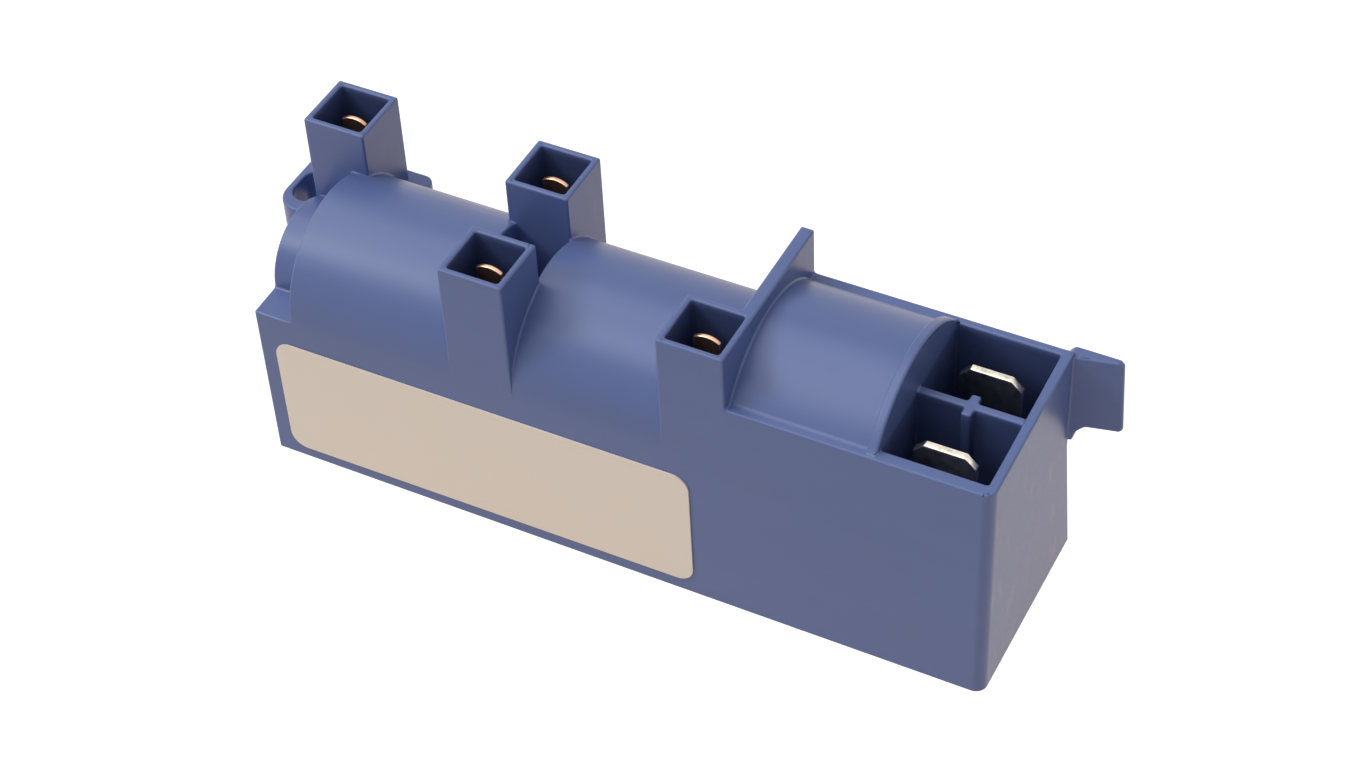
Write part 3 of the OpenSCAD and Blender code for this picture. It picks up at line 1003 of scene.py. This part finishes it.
@dataclass
class Studio:
    """The camera, the floor and the lights."""

    eye: tuple[float, float, float] = (100.10, -176.475, 213.70)
    azimuth: float = 28.91
    elevation: float = 44.37
    roll: float = -3.01
    focal_px: float = 2877.0
    width_px: float = 1366.0
    ambient: float = 0.22
    floor_glow: float = 0.86
    warmth: Colour = (1.0, 0.88, 0.80)

    def camera(self) -> None:
        """Places the camera.

        The camera's axes are right, up and back, turned by the roll: r' = r cos k + u sin k, u' = u cos k - r sin k.
        """
        a, e, k = (math.radians(v) for v in (self.azimuth, self.elevation, self.roll))
        back = Vector((math.sin(a) * math.cos(e), -math.cos(a) * math.cos(e), math.sin(e)))
        right = Vector((math.cos(a), math.sin(a), 0.0))
        up = back.cross(right)
        turned_right = right * math.cos(k) + up * math.sin(k)
        turned_up = up * math.cos(k) - right * math.sin(k)
        data = bpy.data.cameras.new("camera")
        data.sensor_fit = "HORIZONTAL"
        data.sensor_width = 36.0
        data.lens = self.focal_px * 36.0 / self.width_px
        data.clip_start, data.clip_end = 0.01, 20.0
        camera = bpy.data.objects.new("camera", data)
        bpy.context.scene.collection.objects.link(camera)
        turn = Matrix((turned_right, turned_up, back)).transposed().to_4x4()
        camera.matrix_world = Matrix.Translation(Vector(self.eye) * MM) @ turn
        bpy.context.scene.camera = camera

    def floor(self) -> None:
        """Lays the plain pale floor, which shows near white and keeps a soft shadow."""
        made = bpy.data.materials.new("pale_floor")
        graph = Graph(made)
        rays = graph.node("ShaderNodeLightPath")
        seen = rays.out("Is Camera Ray").maximum(rays.out("Is Glossy Ray")).maximum(rays.out("Is Transmission Ray"))
        matte = graph.node("ShaderNodeBsdfDiffuse", {}, {"Color": (0.60, 0.60, 0.60)})
        tint = graph.mix(rays.out("Is Glossy Ray"), (1.0, 1.0, 1.0), self.warmth)
        glow = graph.node("ShaderNodeEmission", {}, {"Color": tint, "Strength": 1.30})
        both = graph.node("ShaderNodeMixShader", {}, {0: seen * self.floor_glow, 1: matte.out(), 2: glow.out()})
        graph.node("ShaderNodeOutputMaterial", {}, {"Surface": both.out()})
        side = 2.0
        mesh = bpy.data.meshes.new("floor")
        mesh.from_pydata([(-side, -side, 0), (side, -side, 0), (side, side, 0), (-side, side, 0)], [], [[0, 1, 2, 3]])
        mesh.materials.append(made)
        floor = bpy.data.objects.new("floor", mesh)
        bpy.context.scene.collection.objects.link(floor)

    def sky(self) -> None:
        """Fills the surroundings with even soft light, and shows them white."""
        world = bpy.context.scene.world or bpy.data.worlds.new("studio")
        bpy.context.scene.world = world
        graph = Graph(world)
        rays = graph.node("ShaderNodeLightPath")
        seen = rays.out("Is Camera Ray").maximum(rays.out("Is Glossy Ray")).maximum(rays.out("Is Transmission Ray"))
        strength = seen * (1.0 - self.ambient) + self.ambient
        shell = graph.node("ShaderNodeBackground", {}, {"Color": (1.0, 1.0, 1.0), "Strength": strength})
        graph.node("ShaderNodeOutputWorld", {}, {"Surface": shell.out()})

    def lamp(self, name: str, towards: tuple[float, float, float], strength: float, spread: float) -> None:
        """Adds a broad distant lamp.

        Args:
            name: the lamp's name.
            towards: direction from the object to the lamp.
            strength: light on a surface that faces it.
            spread: the lamp's apparent width in degrees.
        """
        data = bpy.data.lights.new(name, "SUN")
        data.energy = strength
        data.angle = math.radians(spread)
        lamp = bpy.data.objects.new(name, data)
        bpy.context.scene.collection.objects.link(lamp)
        lamp.rotation_mode = "QUATERNION"
        lamp.rotation_quaternion = Vector(towards).to_track_quat("Z", "Y")

    def build(self) -> None:
        """Sets up the whole studio."""
        self.camera()
        self.floor()
        self.sky()
        self.lamp("key", (-0.65, -0.38, 0.655), 0.7, 16.0)
        self.lamp("broad", (-0.40, -0.20, 0.90), 1.65, 70.0)
        self.lamp("fill", (0.93, 0.10, 0.35), 0.25, 40.0)
        bpy.context.scene.view_settings.view_transform = "Standard"


def corners(box: tuple[Vector, Vector]) -> list[list[float]]:
    """A box as plain lists."""
    return [list(box[0]), list(box[1])]


def main() -> None:
    """Builds and finishes every piece, then the studio."""
    logging.basicConfig(level=logging.INFO, format="%(name)s: %(message)s")
    makers: tuple[Any, ...] = (Housing(), FlatLabel(), MainsBlades(), OutletPins(), Circuit())
    for maker in makers:
        for piece in maker.build():
            LOG.info("%s: %s, %d faces", type(maker).__name__, piece.name, len(piece.data.polygons))
    Studio().build()
    bpy.context.view_layer.update()


if __name__ == "__main__":
    main()
